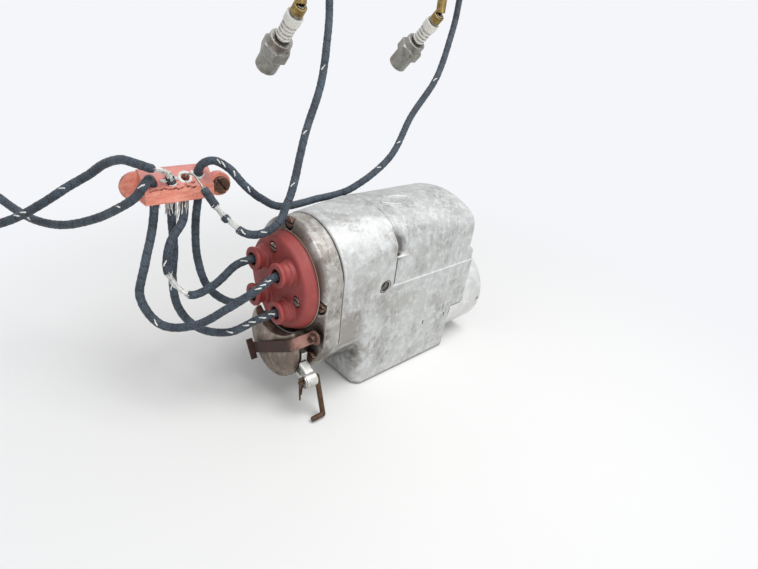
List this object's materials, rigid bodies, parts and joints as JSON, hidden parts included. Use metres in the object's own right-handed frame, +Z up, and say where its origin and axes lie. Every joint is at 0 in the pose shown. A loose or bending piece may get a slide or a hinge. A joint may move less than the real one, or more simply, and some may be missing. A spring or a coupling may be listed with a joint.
{
  "type": "ignition magneto",
  "caption": "Base-mounted ignition magneto: cast housing, moulded distributor cap, timing arm, impulse coupling, high-tension leads, loom clamp and spark plugs",
  "frame": {"origin": "middle of the bolt pattern on the underside of the base", "axes": "+Z up out of the base, +X along the shaft towards the drive end, -Y outwards on the side that faces the viewer"},
  "size_m": [0.4003, 0.2345, 0.3078],
  "materials": {
    "casting": "as-cast aluminium, mottled grey",
    "casting_dull": "as-cast aluminium with brown stains",
    "clean_aluminium": "clean cast and machined aluminium",
    "stained_casting": "aluminium darkened with oil and rust",
    "steel": "dull steel",
    "rusty_steel": "brown rusted steel",
    "red_moulding": "satin brick-red moulding",
    "lead_cloth": "blue-black lacquered cloth braid",
    "brass": "tarnished brass",
    "clamp_paint": "faded salmon-red paint over sheet metal",
    "porcelain": "glazed white porcelain"
  },
  "bodies": {
    "magneto": {"main_housing": "casting_dull", "gear_case": "casting", "magnet_cover": "casting", "end_casting": "casting_dull", "case_screws": "rusty_steel", "drive_skirt": "clean_aluminium", "oiler": "steel", "distributor_cap": "red_moulding", "cap_screws": "steel", "breaker_collar": "casting_dull", "breaker_cover": "stained_casting", "bail_screw": "rusty_steel", "lead_1": "lead_cloth", "lead_2": "lead_cloth", "lead_3": "lead_cloth", "lead_4": "lead_cloth", "lead_end_2": "brass", "lead_end_3": "brass", "plug_clips": "brass", "loom_clamp": "clamp_paint", "clamp_screws": "rusty_steel", "plug_insulators": "porcelain", "plug_shells": "steel", "plug_nuts": "steel"},
    "rotor": {"drive_shaft": "steel", "coupling_cup": "steel", "coupling_nut": "steel"},
    "timing": {"timing_ring": "casting_dull", "timing_arm": "clean_aluminium"},
    "link": {"link_rod": "rusty_steel", "cotter_pin": "steel"},
    "bail": {"cover_bail": "rusty_steel"}
  },
  "joints": [
    {"name": "shaft_turn", "type": "hinge", "parent": "magneto", "child": "rotor", "pos_m": [0.08, 0, 0.045], "axis": [1, 0, 0], "continuous": true},
    {"name": "timing_swing", "type": "hinge", "parent": "magneto", "child": "timing", "pos_m": [-0.1025, 0, 0.045], "axis": [1, 0, 0], "range_deg": [-12, 12]},
    {"name": "link_swing", "type": "hinge", "parent": "timing", "child": "link", "pos_m": [-0.105, -0.04018, 0.03116], "axis": [1, 0, 0], "range_deg": [-20, 20]},
    {"name": "bail_swing", "type": "hinge", "parent": "magneto", "child": "bail", "pos_m": [-0.099, -0.036, 0.063], "axis": [1, 0, 0], "range_deg": [-65, 0]}
  ]
}
